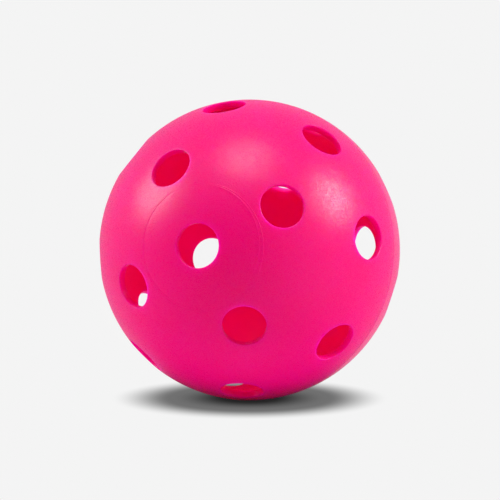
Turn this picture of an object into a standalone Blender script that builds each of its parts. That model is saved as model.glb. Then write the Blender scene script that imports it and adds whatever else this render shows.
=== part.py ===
"""Indoor pickleball ball, in metres, +Z up, as it lies on a floor.

The ball is two identical moulded half shells, welded rim to rim. Each half has
13 round holes square to its surface: one at the pole, an inner ring of 4 and an
outer ring of 8. The origin is the ball's centre. The ball's own axis, from pole
to pole, lies in the YZ plane, with the front pole towards -Y and a little up.
"""

import math

import bpy

# Driving dimensions
BALL_DIAMETER = 0.074
WALL = 0.00185
HOLE_DIAMETER = 0.0106
HOLE_EDGE_RADIUS = 0.0005

# Hole pattern of one half: angles from its pole, and round its axis
INNER_RING_COUNT = 4
INNER_RING_ANGLE = math.radians(35.2)
INNER_RING_START = math.radians(22.5)
OUTER_RING_COUNT = 8
OUTER_RING_ANGLE = math.radians(70.9)
OUTER_RING_START = 0.0

# The weld between the halves: a thin web with a rounded bead inside the ball
WELD_THICKNESS = 0.0004
WELD_RECESS = 0.0001
WELD_BEAD_RADIUS = 0.0008
FIT_GAP = 0.0003

# How the halves are turned to each other, and how the ball lies
REAR_HALF_TURN = math.radians(22.5)
FRONT_POLE_RISE = math.radians(8.6)
SPIN = math.radians(6.9)

# Fineness of the round shapes
ROUND_STEPS = 48
QUARTER_STEPS = 12
HOLE_STEPS = 24
HOLE_EDGE_STEPS = 2
BEAD_STEPS = 6

# Finish
PINK = (0.86, 0.004, 0.15)
WELD_PINK = (0.70, 0.003, 0.11)
PLASTIC_ROUGHNESS = 0.42
WELD_ROUGHNESS = 0.30

MERGE_DISTANCE = 0.00001
SHARP_EDGE = math.radians(30)

OUTER_RADIUS = BALL_DIAMETER / 2
INNER_RADIUS = OUTER_RADIUS - WALL
HOLE_RADIUS = HOLE_DIAMETER / 2
RIM_HEIGHT = WELD_THICKNESS / 2 + FIT_GAP


def clear_scene():
    for obj in list(bpy.data.objects):
        bpy.data.objects.remove(obj, do_unlink=True)


def new_collection(name):
    collection = bpy.data.collections.new(name)
    bpy.context.scene.collection.children.link(collection)
    return collection


def new_empty(name, collection, parent=None):
    empty = bpy.data.objects.new(name, None)
    empty.empty_display_size = OUTER_RADIUS
    empty.parent = parent
    collection.objects.link(empty)
    return empty


def plastic(name, colour, roughness):
    material = bpy.data.materials.new(name)
    material.use_nodes = True
    shader = material.node_tree.nodes["Principled BSDF"]
    shader.inputs["Base Color"].default_value = (*colour, 1.0)
    shader.inputs["Roughness"].default_value = roughness
    shader.inputs["Metallic"].default_value = 0.0
    material.diffuse_color = (*colour, 1.0)
    return material


def arc(radius, start, end, steps, across=0.0, up=0.0):
    """Points from angle start to angle end, both included, round the centre (across, up)."""
    points = []
    for step in range(steps + 1):
        angle = start + (end - start) * step / steps
        points.append((across + radius * math.cos(angle), up + radius * math.sin(angle)))
    return points


def profile_object(name, outline, closed, steps, collection, parent):
    """An outline of (across, up) points, turned about its own Z axis by a Screw modifier."""
    mesh = bpy.data.meshes.new(name)
    count = len(outline)
    edges = [(i, (i + 1) % count) for i in range(count if closed else count - 1)]
    mesh.from_pydata([(across, 0.0, up) for across, up in outline], edges, [])
    obj = bpy.data.objects.new(name, mesh)
    obj.parent = parent
    collection.objects.link(obj)
    screw = obj.modifiers.new("turned", "SCREW")
    screw.steps = steps
    screw.render_steps = steps
    screw.use_merge_vertices = True
    screw.merge_threshold = MERGE_DISTANCE
    return obj


def settle(obj, material):
    """Keeps the evaluated shape as the object's own mesh, smooth but for its real edges."""
    bpy.context.view_layer.update()
    evaluated = obj.evaluated_get(bpy.context.evaluated_depsgraph_get())
    mesh = bpy.data.meshes.new_from_object(evaluated)
    mesh.name = obj.name
    mesh.materials.clear()
    mesh.materials.append(material)
    mesh.shade_smooth()
    mesh.set_sharp_from_angle(angle=SHARP_EDGE)
    obj.modifiers.clear()
    obj.data = mesh


def half_shell_outline():
    """Down the outside from the pole to the rim, across the rim, and back up the inside."""
    outer_rim = math.asin(RIM_HEIGHT / OUTER_RADIUS)
    inner_rim = math.asin(RIM_HEIGHT / INNER_RADIUS)
    outside = arc(OUTER_RADIUS, math.pi / 2, outer_rim, QUARTER_STEPS)
    inside = arc(INNER_RADIUS, inner_rim, math.pi / 2, QUARTER_STEPS)
    outline = outside + inside
    outline[0] = (0.0, OUTER_RADIUS)
    outline[-1] = (0.0, INNER_RADIUS)
    return outline


def hole_cutter_outline():
    """A pin through the wall, flared by the rounded edge where it meets the outside.

    The edge's centre is one edge radius outside the bore and one edge radius
    under the ball's surface.
    """
    edge_across = HOLE_RADIUS + HOLE_EDGE_RADIUS
    edge_up = math.sqrt((OUTER_RADIUS - HOLE_EDGE_RADIUS) ** 2 - edge_across**2)
    surface_angle = math.atan2(edge_up, edge_across)
    flare = arc(HOLE_EDGE_RADIUS, surface_angle + SHARP_EDGE, math.pi, HOLE_EDGE_STEPS, edge_across, edge_up)
    top = OUTER_RADIUS + WALL
    bottom = INNER_RADIUS - 2 * WALL
    mouth = (flare[0][0] + (top - flare[0][1]) / math.tan(SHARP_EDGE), top)
    return [(0.0, top), mouth, *flare, (HOLE_RADIUS, bottom), (0.0, bottom)]


def hole_directions():
    """(name, angle from the pole, angle round the axis) of one half's 13 holes."""
    yield "pole", 0.0, 0.0
    rings = (
        ("inner", INNER_RING_COUNT, INNER_RING_ANGLE, INNER_RING_START),
        ("outer", OUTER_RING_COUNT, OUTER_RING_ANGLE, OUTER_RING_START),
    )
    for ring, count, from_pole, start in rings:
        for index in range(count):
            yield f"{ring}_{index + 1}", from_pole, start + math.tau * index / count


def hole_cutters(half, axis, cutters):
    """One pin for each hole of a half, in a collection of their own."""
    collection = bpy.data.collections.new(f"{half}_hole_pins")
    cutters.children.link(collection)
    for hole, from_pole, around in hole_directions():
        name = f"{half}_{hole}_hole_pin"
        pin = profile_object(name, hole_cutter_outline(), False, HOLE_STEPS, collection, axis)
        pin.rotation_euler = (0.0, from_pole, around)
        pin.hide_render = True
        pin.display_type = "WIRE"
    return collection


def half_shell(name, axis, parts, cutters, material):
    """One moulding: a hollow half ball, its pole on the axis empty's +Z, with its 13 holes."""
    shell = profile_object(name, half_shell_outline(), False, ROUND_STEPS, parts, axis)
    holes = shell.modifiers.new("holes", "BOOLEAN")
    holes.operation = "DIFFERENCE"
    holes.solver = "EXACT"
    holes.operand_type = "COLLECTION"
    holes.collection = hole_cutters(name, axis, cutters)
    settle(shell, material)
    return shell


def weld_outline():
    """The web between the two rims, from just under the surface to the bead inside."""
    web_top = OUTER_RADIUS - WELD_RECESS
    bead_across = INNER_RADIUS - FIT_GAP
    half_web = WELD_THICKNESS / 2
    bead = arc(WELD_BEAD_RADIUS, -math.pi / 2, -1.5 * math.pi, BEAD_STEPS, bead_across)
    return [(web_top, half_web), (web_top, -half_web), (bead_across, -half_web), *bead, (bead_across, half_web)]


def weld_seam(name, axis, parts, material):
    """The ring of plastic that joins the rims, on the axis empty's XY plane."""
    weld = profile_object(name, weld_outline(), True, ROUND_STEPS, parts, axis)
    settle(weld, material)
    return weld


def build():
    clear_scene()
    parts = new_collection("pickleball_ball")
    cutters = new_collection("cutters")

    ball = new_empty("ball_axes", parts)
    ball.rotation_mode = "YXZ"
    ball.rotation_euler = (-FRONT_POLE_RISE, -SPIN, 0.0)

    front_axis = new_empty("front_half_axis", parts, ball)
    front_axis.rotation_euler = (math.pi / 2, 0.0, 0.0)
    rear_axis = new_empty("rear_half_axis", parts, ball)
    rear_axis.rotation_euler = (-math.pi / 2, -REAR_HALF_TURN, 0.0)

    front_pink = plastic("front_half_plastic", PINK, PLASTIC_ROUGHNESS)
    rear_pink = plastic("rear_half_plastic", PINK, PLASTIC_ROUGHNESS)
    weld_pink = plastic("weld_plastic", WELD_PINK, WELD_ROUGHNESS)

    half_shell("front_half_shell", front_axis, parts, cutters, front_pink)
    half_shell("rear_half_shell", rear_axis, parts, cutters, rear_pink)
    weld_seam("weld_seam", front_axis, parts, weld_pink)


build()
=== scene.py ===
import math

import bmesh
import bpy
from mathutils import Matrix, Vector
from mathutils.geometry import delaunay_2d_cdt


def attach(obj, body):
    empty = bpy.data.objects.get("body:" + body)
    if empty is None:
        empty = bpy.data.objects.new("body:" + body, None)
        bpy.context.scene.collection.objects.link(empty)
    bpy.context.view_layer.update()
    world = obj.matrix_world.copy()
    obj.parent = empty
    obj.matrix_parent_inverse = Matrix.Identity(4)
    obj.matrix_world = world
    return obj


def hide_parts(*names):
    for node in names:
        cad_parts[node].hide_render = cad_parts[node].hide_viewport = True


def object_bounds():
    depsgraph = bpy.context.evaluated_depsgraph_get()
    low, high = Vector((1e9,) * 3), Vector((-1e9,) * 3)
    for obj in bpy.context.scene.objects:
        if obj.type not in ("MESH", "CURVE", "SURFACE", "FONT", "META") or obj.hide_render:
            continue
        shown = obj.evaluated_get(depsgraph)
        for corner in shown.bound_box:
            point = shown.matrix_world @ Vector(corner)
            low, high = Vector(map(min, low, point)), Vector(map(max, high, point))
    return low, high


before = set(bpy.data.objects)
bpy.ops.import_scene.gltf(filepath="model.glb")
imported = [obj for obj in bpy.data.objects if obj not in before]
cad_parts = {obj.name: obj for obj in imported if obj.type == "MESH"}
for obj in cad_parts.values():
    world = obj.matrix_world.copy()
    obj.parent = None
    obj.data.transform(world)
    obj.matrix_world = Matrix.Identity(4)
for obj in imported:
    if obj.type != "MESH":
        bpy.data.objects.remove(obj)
CAD_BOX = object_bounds()

# The ball, in metres. Its box is a little under a true sphere's, because the CAD model is faceted
OUTER_RADIUS = min(abs(value) for corner in CAD_BOX for value in corner)
WALL = 0.00185
INNER_RADIUS = OUTER_RADIUS - WALL

# The holes of one half, in rings: (count, angle from the pole, angle of the first round the axis)
HOLE_RADIUS = 0.0053
HOLE_RINGS = (
    (1, 0.0, 0.0),
    (4, math.radians(35.2), math.radians(22.5)),
    (8, math.radians(70.9), 0.0),
)

# How the ball lies, and how the rear half is turned to the front half
FRONT_POLE_RISE = math.radians(8.6)
SPIN = math.radians(6.9)
REAR_HALF_TURN = math.radians(22.3)

# Edges of the moulding: how far each rolls off across the surface, and how deep
HOLE_EDGE_ACROSS = 0.00022
HOLE_EDGE_DEPTH = 0.0002
INSIDE_EDGE = 0.0004
RIM_EDGE = 0.00007

# The weld: half the thickness of its web, how far that stays under the ball's surface, the gap that keeps
# it clear of the rims, and its inner bead. The web's crown and the bead are flattened to a share of a half
# round
WEB_HALF = 0.00009
WEB_RECESS = 0.00003
WELD_GAP = 0.00001
RIM_HEIGHT = WEB_HALF + WELD_GAP
CROWN_SHARE = 0.3
BEAD_RADIUS = 0.0008
BEAD_SHARE = 0.4

# The fine marks that a round insert in the mould leaves about each pole: a step at its edge, up on one side
# and down on the other, and outside it a thin ridge, a little off centre and higher on one side
INSERT_ANGLE = math.radians(23.4)
INSERT_STEP = 0.00006
INSERT_HIGH_SIDE = math.radians(10)
RIDGE_ANGLE = math.radians(24.3)
RIDGE_OFF_CENTRE = math.radians(0.7)
RIDGE_SIDE = math.radians(300)
RIDGE_HEIGHT = 0.00005
RIDGE_UNEVENNESS = 0.4
MARK_WIDTH = 0.00006
MARK_INSIDE = 0.0003
MARK_OUTSIDE = 0.0012

# Fineness of the meshes: distances between points, and steps round rings and edges
OUTSIDE_SPACING = 0.00105
INSIDE_SPACING = 0.0018
MARK_SPACING = 0.00004
HOLE_STEPS = 96
RIM_STEPS = 720
MARK_STEPS = 480
EDGE_STEPS = 8
RIM_EDGE_STEPS = 3
BORE_STEPS = 4
CROWN_STEPS = 6
BEAD_STEPS = 16

# How far outside a hole's edge its extra rings are, and how far the loose points stay clear of the nearest
# ring, as a share of their own spacing
EDGE_RINGS = (0.0003, 0.0007)
CLEAR_OF_RIM = 0.6
CLEAR_OF_OUTER_EDGE = 0.7
CLEAR_OF_INNER_EDGE = 0.6

# The plastic's tones, between which it is clouded, and how matt it is
BALL_TONES = ((0.97, 0.0, 0.195), (0.99, 0.0, 0.215))
WELD_TONES = ((0.965, 0.0, 0.19), (0.985, 0.0, 0.21))
BALL_ROUGHNESS = 0.32
WELD_ROUGHNESS = 0.4

# How deep light soaks into the plastic, and the shares of that for red, green and blue. Within RIM_REACH of
# the weld the depth falls to RIM_DEPTH
LIGHT_DEPTH = 0.0036
LIGHT_SPREAD = (1.0, 0.2, 1.5)
RIM_DEPTH = 0.0002
RIM_REACH = 0.004

# Surface sheen, how much the speckle of a blasted mould changes it and its blur, and how high the grains
# stand, of which the weld has a share. The inside has only a share of the sheen and of the haze, which pales
# the rear half at glancing angles
SHEEN = 0.34
SHEEN_SPECKLE = 0.36
BLUR_SPECKLE = 0.07
GRAIN_HEIGHT = 0.00004
WELD_GRAIN = 0.8
INSIDE_SHEEN = 0.15
REAR_HAZE = 0.14

# Features per metre of the clouds of colour and of the speckle, and the middle of a noise's range
CLOUD_SCALE = 90
SPECKLE_SCALE = 4000
NOISE_LOW = 0.3
NOISE_HIGH = 0.7

# Camera of the main view: its lens shift is in shares of the frame's width, its sensor in millimetres
CAMERA_AZIMUTH = math.radians(19.92)
CAMERA_ELEVATION = math.radians(7.5)
CAMERA_DISTANCE = 22.37 * OUTER_RADIUS
BALL_SHARE_OF_FRAME = 0.6016
SENSOR_WIDTH = 36.0
SHIFT_RIGHT = 0.0009
SHIFT_UP = -0.0002
NEAREST_SEEN = 0.01
FURTHEST_SEEN = 200.0

# How light the backdrop and the floor are, and how much brighter the floor is as a light for the ball
BACKGROUND = 0.905
FLOOR_GLOW = 1.2
FLOOR_RADIUS = 40.0
FLOOR_STEPS = 128

# The round shadow painted on the floor under the ball, not cast by it, a little wider than deep. Each step
# is a distance from where the ball touches, in ball radii, and how light the floor is there
PAINTED_SHADE_STRETCH = 1.15
PAINTED_SHADE_STEPS = ((0.14, 0.02), (0.46, 0.18), (0.81, 1.0))

# The room's own light fades out towards the dark side, a direction as the camera sees it, and again below
# the floor. Each fade runs between two cosines, of the angle to the dark side or to straight up
ROOM_BRIGHTNESS = 0.53
DARK_SIDE = (-0.38, -0.34, 0.85)
DARK_SIDE_FADE = (0.25, 0.87)
BELOW_FADE = (-0.75, -0.4)
LIGHT_BOUNCES = 12

# Wide round lights: (name, direction as the camera sees it, strength, width in degrees)
SOFTBOXES = (
    ("top_softbox", (-0.026, 0.958, 0.284), 1.07, 29),
    ("right_softbox", (0.844, 0.515, 0.148), 1.9, 21.5),
    ("left_softbox", (-0.838, 0.544, -0.031), 1.6, 29),
)

# Where the two halves, each modelled with its pole on +Z, go in the ball
POLE = Vector((0, 0, 1))
BALL = Matrix.Rotation(-FRONT_POLE_RISE, 4, "X") @ Matrix.Rotation(-SPIN, 4, "Y")
FRONT_HALF = BALL @ Matrix.Rotation(math.pi / 2, 4, "X")
REAR_HALF = BALL @ Matrix.Rotation(-REAR_HALF_TURN, 4, "Y") @ Matrix.Rotation(-math.pi / 2, 4, "X")


# Directions


def on_sphere(from_pole, around):
    """Unit direction at an angle from +Z, and at an angle round it from +X."""
    across = math.sin(from_pole)
    return Vector((across * math.cos(around), across * math.sin(around), math.cos(from_pole)))


def hole_directions():
    """Directions of one half's holes, its pole on +Z."""
    directions = []
    for count, from_pole, start in HOLE_RINGS:
        for index in range(count):
            directions.append(on_sphere(from_pole, start + math.tau * index / count))
    return directions


def circle_about(direction, steps):
    """Unit vectors square to direction, evenly round it."""
    side = direction.orthogonal().normalized()
    other = direction.cross(side)
    turns = [math.tau * step / steps for step in range(steps)]
    return [side * math.cos(turn) + other * math.sin(turn) for turn in turns]


def ring_of_directions(direction, angle, steps):
    """Unit directions at one angle from direction."""
    along = direction * math.cos(angle)
    return [along + spoke * math.sin(angle) for spoke in circle_about(direction, steps)]


def even_directions(spacing, radius):
    """Directions spread evenly over the half sphere round +Z, about spacing apart on that radius."""
    area_of_each = 0.9 * spacing**2
    count = int(math.tau * radius**2 / area_of_each)
    golden_turn = math.pi * (3 - math.sqrt(5))
    return [on_sphere(math.acos(1 - (i + 0.5) / count), i * golden_turn) for i in range(count)]


# Meshes


class Skin:
    """Vertices and faces of one closed mesh, as they are collected."""

    def __init__(self):
        self.points = []
        self.faces = []

    def add_ring(self, points):
        start = len(self.points)
        self.points.extend(points)
        return list(range(start, len(self.points)))

    def add_turned(self, profile, axis, spokes):
        """One ring for each (across, up) of a profile, turned about an axis through the centre."""
        return [self.add_ring([axis * up + spoke * across for spoke in spokes]) for across, up in profile]

    def stitch(self, rings):
        """Quads between neighbouring rings of the same number of vertices."""
        for first, second in zip(rings, rings[1:]):
            count = len(first)
            for i in range(count):
                j = (i + 1) % count
                self.faces.append((first[i], first[j], second[j], second[i]))

    def patch(self, rings, fill, surface):
        """Covers a half ball with triangles, leaving its holes open.

        rings is a list of (unit directions, whether it is a hole's edge), fill is loose
        directions, and surface gives the point for a direction. The triangles are the
        Delaunay ones of the stereographic picture, which are those of the sphere too.
        Returns each ring's vertices.
        """
        directions = []
        edges = []
        hole_of = {}
        ring_ids = []
        for number, (ring, is_hole) in enumerate(rings):
            start = len(directions)
            count = len(ring)
            directions.extend(ring)
            edges.extend((start + i, start + (i + 1) % count) for i in range(count))
            ring_ids.append(range(start, start + count))
            if is_hole:
                hole_of.update((i, number) for i in range(start, start + count))
        directions.extend(fill)
        flat = [Vector((d.x, d.y)) / (1 + d.z) for d in directions]
        whole_hull = 0
        tolerance = 1e-9
        _, _, triangles, sources, _, _ = delaunay_2d_cdt(flat, edges, [], whole_hull, tolerance, True)
        first = len(self.points)
        self.points.extend(surface(d) for d in directions)
        for triangle in triangles:
            corners = [sources[v][0] for v in triangle]
            # A triangle with all its corners on one hole's edge lies in that hole, and is left out
            owners = {hole_of.get(corner, -1 - corner) for corner in corners}
            if len(owners) > 1:
                self.faces.append(tuple(first + corner for corner in corners))
        return [[first + i for i in ids] for ids in ring_ids]

    def to_object(self, name, placing):
        mesh = bpy.data.meshes.new(name)
        mesh.from_pydata([placing @ p for p in self.points], [], self.faces)
        mesh.validate()
        mesh.shade_smooth()
        obj = bpy.data.objects.new(name, mesh)
        bpy.context.scene.collection.objects.link(obj)
        face_outwards(mesh)
        return obj


def face_outwards(mesh):
    """Turns every face of a closed mesh outwards."""
    work = bmesh.new()
    work.from_mesh(mesh)
    bmesh.ops.recalc_face_normals(work, faces=work.faces)
    work.to_mesh(mesh)
    work.free()


# One half shell


def mark_height(direction):
    """How far the insert's marks lift the outer surface there."""
    around = math.atan2(direction.y, direction.x)
    from_pole = direction.angle(POLE)
    past_step = (from_pole - INSERT_ANGLE) * OUTER_RADIUS
    if not -MARK_INSIDE < past_step < MARK_OUTSIDE:
        return 0.0
    step = INSERT_STEP * math.cos(around - INSERT_HIGH_SIDE) * (1 - math.tanh(past_step / MARK_WIDTH)) / 2
    fading = 1 + min(0.0, past_step) / MARK_INSIDE
    to_ridge_side = math.cos(around - RIDGE_SIDE)
    ridge_angle = RIDGE_ANGLE + RIDGE_OFF_CENTRE * to_ridge_side
    past_ridge = (from_pole - ridge_angle) * OUTER_RADIUS
    ridge_height = RIDGE_HEIGHT * (1 + RIDGE_UNEVENNESS * to_ridge_side)
    ridge = ridge_height * math.exp(-((past_ridge / MARK_WIDTH) ** 2))
    return step * fading + ridge


def mark_ring_angles():
    """Angles from the pole of the close rings that carry the insert's marks."""
    count = round((MARK_INSIDE + MARK_OUTSIDE) / MARK_SPACING) + 1
    return [INSERT_ANGLE + (step * MARK_SPACING - MARK_INSIDE) / OUTER_RADIUS for step in range(count)]


def outside_point(direction):
    return direction * (OUTER_RADIUS + mark_height(direction))


def inside_point(direction):
    return direction * INNER_RADIUS


def loose_directions(spacing, radius, rim_angle, clear_angle, holes):
    """Even directions on one surface of a half, clear of its rim, its marks, and its holes by an angle."""
    fill = []
    for direction in even_directions(spacing, radius):
        from_pole = direction.angle(POLE)
        past_step = (from_pole - INSERT_ANGLE) * radius
        if from_pole > rim_angle - CLEAR_OF_RIM * spacing / radius:
            continue
        if -MARK_INSIDE - spacing / 2 < past_step < MARK_OUTSIDE + spacing / 2:
            continue
        if all(direction.angle(hole) > clear_angle for hole in holes):
            fill.append(direction)
    return fill


def rim_and_hole_rings(rim_angle, hole_angle, holes):
    """The rings that bound one surface of a half: its rim first, then its holes."""
    rings = [(ring_of_directions(POLE, rim_angle, RIM_STEPS), False)]
    rings += [(ring_of_directions(hole, hole_angle, HOLE_STEPS), True) for hole in holes]
    return rings


def outside_patch(skin, holes):
    """The outer surface: rings close together where it bends, loose points between."""
    rim_angle = math.acos((RIM_HEIGHT + RIM_EDGE) / OUTER_RADIUS)
    hole_angle = math.asin((HOLE_RADIUS + HOLE_EDGE_ACROSS) / OUTER_RADIUS)
    rings = rim_and_hole_rings(rim_angle, hole_angle, holes)
    for out in EDGE_RINGS:
        angle = hole_angle + out / OUTER_RADIUS
        rings += [(ring_of_directions(hole, angle, HOLE_STEPS), False) for hole in holes]
    rings += [(ring_of_directions(POLE, angle, MARK_STEPS), False) for angle in mark_ring_angles()]
    clear_angle = hole_angle + (EDGE_RINGS[-1] + CLEAR_OF_OUTER_EDGE * OUTSIDE_SPACING) / OUTER_RADIUS
    fill = loose_directions(OUTSIDE_SPACING, OUTER_RADIUS, rim_angle, clear_angle, holes)
    return skin.patch(rings, fill, outside_point)


def inside_patch(skin, holes):
    """The inner surface, which is plain."""
    rim_angle = math.acos((RIM_HEIGHT + RIM_EDGE) / INNER_RADIUS)
    hole_angle = math.asin((HOLE_RADIUS + INSIDE_EDGE) / INNER_RADIUS)
    rings = rim_and_hole_rings(rim_angle, hole_angle, holes)
    clear_angle = hole_angle + CLEAR_OF_INNER_EDGE * INSIDE_SPACING / INNER_RADIUS
    fill = loose_directions(INSIDE_SPACING, INNER_RADIUS, rim_angle, clear_angle, holes)
    return skin.patch(rings, fill, inside_point)


def hole_profile():
    """(across, up) down a hole's wall: over its rounded outer edge, the bore and the inner edge."""
    profile = []
    for step in range(1, EDGE_STEPS + 1):
        turn = math.pi / 2 * step / EDGE_STEPS
        across = HOLE_RADIUS + HOLE_EDGE_ACROSS * (1 - math.sin(turn))
        surface = math.sqrt(OUTER_RADIUS**2 - across**2)
        profile.append((across, surface - HOLE_EDGE_DEPTH * (1 - math.cos(turn))))
    top = profile[-1][1]
    bottom = math.sqrt(INNER_RADIUS**2 - HOLE_RADIUS**2) + INSIDE_EDGE
    for step in range(1, BORE_STEPS + 1):
        profile.append((HOLE_RADIUS, top + (bottom - top) * step / BORE_STEPS))
    for step in range(1, EDGE_STEPS):
        turn = math.pi / 2 * step / EDGE_STEPS
        across = HOLE_RADIUS + INSIDE_EDGE * (1 - math.cos(turn))
        profile.append((across, bottom - INSIDE_EDGE * math.sin(turn)))
    return profile


def rim_profile():
    """(across, up) over the rim, a flat face between two small rounded edges."""
    outer = math.sqrt(OUTER_RADIUS**2 - RIM_HEIGHT**2)
    inner = math.sqrt(INNER_RADIUS**2 - RIM_HEIGHT**2)
    profile = []
    for step in range(1, RIM_EDGE_STEPS + 1):
        turn = math.pi / 2 * step / RIM_EDGE_STEPS
        rise = RIM_HEIGHT + RIM_EDGE * (1 - math.sin(turn))
        profile.append((outer - RIM_EDGE * (1 - math.cos(turn)), rise))
    for step in range(RIM_EDGE_STEPS, 0, -1):
        turn = math.pi / 2 * step / RIM_EDGE_STEPS
        rise = RIM_HEIGHT + RIM_EDGE * (1 - math.sin(turn))
        profile.append((inner + RIM_EDGE * (1 - math.cos(turn)), rise))
    return profile


def half_shell_skin():
    """One moulding, its pole on +Z, as a closed mesh."""
    skin = Skin()
    holes = hole_directions()
    outer_rim, *outer_rings = outside_patch(skin, holes)
    inner_rim, *inner_rings = inside_patch(skin, holes)
    for hole, outer_edge, inner_edge in zip(holes, outer_rings, inner_rings):
        wall = skin.add_turned(hole_profile(), hole, circle_about(hole, HOLE_STEPS))
        skin.stitch([outer_edge, *wall, inner_edge])
    rim = skin.add_turned(rim_profile(), POLE, circle_about(POLE, RIM_STEPS))
    skin.stitch([outer_rim, *rim, inner_rim])
    return skin


# The weld


def weld_profile():
    """(across, up) round the weld: over the web's crown, then round the bead inside the ball."""
    web_top = OUTER_RADIUS - WEB_RECESS
    bead_across = INNER_RADIUS - WELD_GAP
    profile = []
    for step in range(CROWN_STEPS + 1):
        turn = math.pi * step / CROWN_STEPS
        across = web_top + CROWN_SHARE * WEB_HALF * (math.sin(turn) - 1)
        profile.append((across, WEB_HALF * math.cos(turn)))
    for step in range(BEAD_STEPS + 1):
        turn = math.pi * step / BEAD_STEPS
        across = bead_across - BEAD_SHARE * BEAD_RADIUS * math.sin(turn)
        profile.append((across, -BEAD_RADIUS * math.cos(turn)))
    return profile


def weld_skin():
    """The weld: a thin web between the rims, and a rounded bead inside the ball."""
    skin = Skin()
    rings = skin.add_turned(weld_profile(), POLE, circle_about(POLE, RIM_STEPS))
    skin.stitch(rings + rings[:1])
    return skin


# Nodes of materials


def link(tree, source, target):
    tree.links.new(source, target)


def place_on_object(tree):
    """Where a point is, from its object's origin."""
    return tree.nodes.new("ShaderNodeTexCoord").outputs["Object"]


def length(tree, vector):
    node = tree.nodes.new("ShaderNodeVectorMath")
    node.operation = "LENGTH"
    link(tree, vector, node.inputs[0])
    return node.outputs["Value"]


def reach_along(tree, vector, direction):
    """How far a vector reaches along a unit direction."""
    node = tree.nodes.new("ShaderNodeVectorMath")
    node.operation = "DOT_PRODUCT"
    node.inputs[1].default_value = direction
    link(tree, vector, node.inputs[0])
    return node.outputs["Value"]


def fade(tree, value, start, end, at_start, at_end):
    """Goes evenly from one value at start to another at end, and stays level beyond them."""
    node = tree.nodes.new("ShaderNodeMapRange")
    node.inputs["From Min"].default_value = start
    node.inputs["From Max"].default_value = end
    node.inputs["To Min"].default_value = at_start
    node.inputs["To Max"].default_value = at_end
    link(tree, value, node.inputs["Value"])
    return node.outputs["Result"]


def product(tree, first, second):
    node = tree.nodes.new("ShaderNodeMath")
    node.operation = "MULTIPLY"
    link(tree, first, node.inputs[0])
    link(tree, second, node.inputs[1])
    return node.outputs["Value"]


def choose(tree, choice, otherwise, chosen):
    """The chosen shader where choice is 1, and the other one where it is 0."""
    node = tree.nodes.new("ShaderNodeMixShader")
    link(tree, choice, node.inputs["Fac"])
    link(tree, otherwise, node.inputs[1])
    link(tree, chosen, node.inputs[2])
    return node.outputs["Shader"]


def noise(tree, scale, detail):
    """A noise texture, its scale in features per metre."""
    texture = tree.nodes.new("ShaderNodeTexNoise")
    texture.inputs["Scale"].default_value = scale
    texture.inputs["Detail"].default_value = detail
    link(tree, place_on_object(tree), texture.inputs["Vector"])
    return texture.outputs["Fac"]


def spread(tree, value, low, high):
    """Maps the middle of a noise's range onto low to high."""
    return fade(tree, value, NOISE_LOW, NOISE_HIGH, low, high)


def two_tones(tree, value, tones):
    dark, light = tones
    node = tree.nodes.new("ShaderNodeMix")
    node.data_type = "RGBA"
    node.inputs["A"].default_value = (*dark, 1.0)
    node.inputs["B"].default_value = (*light, 1.0)
    link(tree, value, node.inputs["Factor"])
    return node.outputs["Result"]


# Plastic


def depth_by_rim(tree):
    """How far light gets in the plastic: less and less towards the weld, where the halves are fused."""
    along_axis = reach_along(tree, place_on_object(tree), FRONT_HALF.to_3x3() @ POLE)
    from_weld = tree.nodes.new("ShaderNodeMath")
    from_weld.operation = "ABSOLUTE"
    link(tree, along_axis, from_weld.inputs[0])
    return fade(tree, from_weld.outputs["Value"], 0.0, RIM_REACH, RIM_DEPTH, LIGHT_DEPTH)


def outside_only(tree, full):
    """A full value on the outside of the ball, falling through the wall to the inside's share of it."""
    from_centre = length(tree, place_on_object(tree))
    matt_up_to = INNER_RADIUS + WALL / 4
    full_from = OUTER_RADIUS - WALL / 8
    return fade(tree, from_centre, matt_up_to, full_from, INSIDE_SHEEN * full, full)


def moulded_plastic(name, tones, roughness, grain, haze):
    """Soft, milky plastic that light soaks into, with the fine grain of a blasted mould.

    The haze is how much the outside pales when seen at a glancing angle.
    """
    material = bpy.data.materials.new(name)
    material.use_nodes = True
    tree = material.node_tree
    shader = tree.nodes["Principled BSDF"]
    shader.inputs["Subsurface Weight"].default_value = 1.0
    shader.inputs["Subsurface Radius"].default_value = LIGHT_SPREAD
    link(tree, depth_by_rim(tree), shader.inputs["Subsurface Scale"])
    cloud = spread(tree, noise(tree, CLOUD_SCALE, 2.0), 0.0, 1.0)
    link(tree, two_tones(tree, cloud, tones), shader.inputs["Base Color"])
    speckle = noise(tree, SPECKLE_SCALE, 1.0)
    blur = spread(tree, speckle, roughness + BLUR_SPECKLE, roughness - BLUR_SPECKLE)
    link(tree, blur, shader.inputs["Roughness"])
    sheen = spread(tree, speckle, SHEEN - SHEEN_SPECKLE, SHEEN + SHEEN_SPECKLE)
    link(tree, product(tree, sheen, outside_only(tree, 1.0)), shader.inputs["Specular IOR Level"])
    if haze > 0:
        link(tree, outside_only(tree, haze), shader.inputs["Sheen Weight"])
    bump = tree.nodes.new("ShaderNodeBump")
    bump.inputs["Strength"].default_value = grain
    bump.inputs["Distance"].default_value = GRAIN_HEIGHT
    link(tree, speckle, bump.inputs["Height"])
    link(tree, bump.outputs["Normal"], shader.inputs["Normal"])
    return material


# The ball


def add_piece(name, skin, placing, material, node):
    piece = skin.to_object(name, placing)
    piece.data.materials.append(material)
    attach(piece, "root")
    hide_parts(node)


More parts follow.
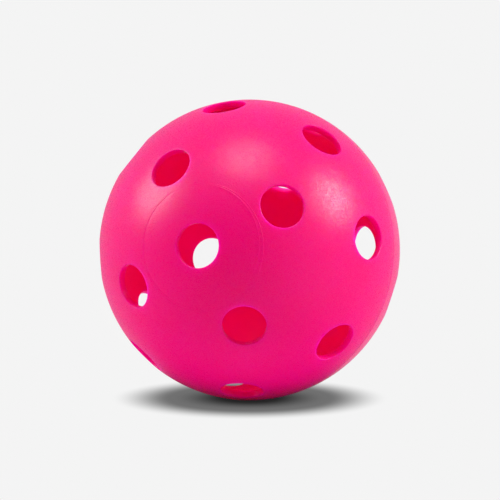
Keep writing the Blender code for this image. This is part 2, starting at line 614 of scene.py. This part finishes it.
def add_ball():
    """Two halves from the same mould, rim to rim, and the weld between them."""
    front_plastic = moulded_plastic("front_plastic", BALL_TONES, BALL_ROUGHNESS, 1.0, 0.0)
    rear_plastic = moulded_plastic("rear_plastic", BALL_TONES, BALL_ROUGHNESS, 1.0, REAR_HAZE)
    weld_plastic = moulded_plastic("weld_plastic", WELD_TONES, WELD_ROUGHNESS, WELD_GRAIN, 0.0)
    shell_skin = half_shell_skin()
    add_piece("front_half", shell_skin, FRONT_HALF, front_plastic, "front_half_shell")
    add_piece("rear_half", shell_skin, REAR_HALF, rear_plastic, "rear_half_shell")
    add_piece("weld", weld_skin(), FRONT_HALF, weld_plastic, "weld_seam")


# Studio


def from_camera(right, up, towards):
    """A direction given as the camera of the main view sees it."""
    turn = Matrix.Rotation(CAMERA_AZIMUTH, 3, "Z") @ Matrix.Rotation(math.pi / 2 - CAMERA_ELEVATION, 3, "X")
    return turn @ Vector((right, up, towards)).normalized()


def painted_shadow(tree):
    """Painted shadow, how light the floor is: dark where the ball touches, in soft steps to 1 further out.
    """
    in_radii = tree.nodes.new("ShaderNodeMath")
    in_radii.operation = "DIVIDE"
    in_radii.inputs[1].default_value = OUTER_RADIUS
    link(tree, length(tree, place_on_object(tree)), in_radii.inputs[0])
    shade = tree.nodes.new("ShaderNodeValToRGB")
    shade.color_ramp.interpolation = "EASE"
    steps = shade.color_ramp.elements
    steps.remove(steps[-1])
    for index, (distance, level) in enumerate(PAINTED_SHADE_STEPS):
        step = steps[0] if index == 0 else steps.new(distance)
        step.position = distance
        step.color = (level, level, level, 1.0)
    link(tree, in_radii.outputs["Value"], shade.inputs["Fac"])
    return shade.outputs["Color"]


def floor_with_painted_shadow():
    """A white table lit from inside, as for product pictures, with a soft round shadow painted on it.

    Gloss doesn't mirror its glow. It shows the room beyond instead, darkened by the painted shadow.
    """
    material = bpy.data.materials.new("floor_with_painted_shadow")
    material.use_nodes = True
    tree = material.node_tree
    tree.nodes.remove(tree.nodes["Principled BSDF"])
    # The dark patch under the ball is a painted shadow, set by distance from where the ball touches, not
    # cast
    shade = painted_shadow(tree)
    path = tree.nodes.new("ShaderNodeLightPath")
    lit = fade(tree, path.outputs["Is Diffuse Ray"], 0.0, 1.0, 1.0, FLOOR_GLOW)
    glow = tree.nodes.new("ShaderNodeEmission")
    glow.inputs["Color"].default_value = (BACKGROUND, BACKGROUND, BACKGROUND, 1.0)
    link(tree, product(tree, shade, lit), glow.inputs["Strength"])
    clear = tree.nodes.new("ShaderNodeBsdfTransparent")
    link(tree, shade, clear.inputs["Color"])
    surface = choose(tree, path.outputs["Is Glossy Ray"], glow.outputs["Emission"], clear.outputs["BSDF"])
    link(tree, surface, tree.nodes["Material Output"].inputs["Surface"])
    return material


def add_floor():
    """The table under the ball, stretched sideways together with the shadow painted on it."""
    bpy.ops.mesh.primitive_circle_add(vertices=FLOOR_STEPS, radius=FLOOR_RADIUS, fill_type="NGON")
    floor = bpy.context.active_object
    floor.name = "floor"
    floor.location.z = -OUTER_RADIUS
    floor.rotation_euler.z = CAMERA_AZIMUTH
    floor.scale.x = PAINTED_SHADE_STRETCH
    floor.data.materials.append(floor_with_painted_shadow())


def add_world():
    """An even backdrop as the camera sees it, and for light a pale room, dark on the camera's side."""
    world = bpy.data.worlds.new("studio")
    bpy.context.scene.world = world
    world.use_nodes = True
    tree = world.node_tree
    backdrop = tree.nodes["Background"]
    backdrop.inputs["Color"].default_value = (BACKGROUND, BACKGROUND, BACKGROUND, 1.0)
    direction = tree.nodes.new("ShaderNodeTexCoord").outputs["Generated"]
    to_dark_side = reach_along(tree, direction, from_camera(*DARK_SIDE))
    lit_side = fade(tree, to_dark_side, *DARK_SIDE_FADE, ROOM_BRIGHTNESS, 0.0)
    upwards = reach_along(tree, direction, (0, 0, 1))
    above = fade(tree, upwards, *BELOW_FADE, 0.0, 1.0)
    room = tree.nodes.new("ShaderNodeBackground")
    link(tree, product(tree, lit_side, above), room.inputs["Strength"])
    seen = tree.nodes.new("ShaderNodeLightPath").outputs["Is Camera Ray"]
    surface = choose(tree, seen, room.outputs["Background"], backdrop.outputs["Background"])
    link(tree, surface, tree.nodes["World Output"].inputs["Surface"])


def add_softbox(name, direction, strength, width):
    """A far, wide round light."""
    lamp = bpy.data.lights.new(name, "SUN")
    lamp.energy = strength
    lamp.angle = math.radians(width)
    obj = bpy.data.objects.new(name, lamp)
    obj.rotation_mode = "QUATERNION"
    obj.rotation_quaternion = direction.to_track_quat("Z", "Y")
    obj.location = direction
    bpy.context.scene.collection.objects.link(obj)


def add_camera():
    """The main view's camera, aimed at the ball's centre."""
    data = bpy.data.cameras.new("camera")
    camera = bpy.data.objects.new("camera", data)
    bpy.context.scene.collection.objects.link(camera)
    back = from_camera(0, 0, 1)
    camera.location = back * CAMERA_DISTANCE
    camera.rotation_mode = "QUATERNION"
    camera.rotation_quaternion = back.to_track_quat("Z", "Y")
    half_ball = math.asin(OUTER_RADIUS / CAMERA_DISTANCE)
    data.sensor_width = SENSOR_WIDTH
    data.lens = SENSOR_WIDTH * BALL_SHARE_OF_FRAME / 2 / math.tan(half_ball)
    data.shift_x = SHIFT_RIGHT
    data.shift_y = SHIFT_UP
    data.clip_start = NEAREST_SEEN
    data.clip_end = FURTHEST_SEEN
    bpy.context.scene.camera = camera


add_ball()
add_floor()
add_world()
for softbox_name, seen_direction, strength, width in SOFTBOXES:
    add_softbox(softbox_name, from_camera(*seen_direction), strength, width)
add_camera()
bpy.context.scene.view_settings.view_transform = "Standard"
# Enough for light to find its way round inside the hollow ball
bpy.context.scene.cycles.diffuse_bounces = LIGHT_BOUNCES
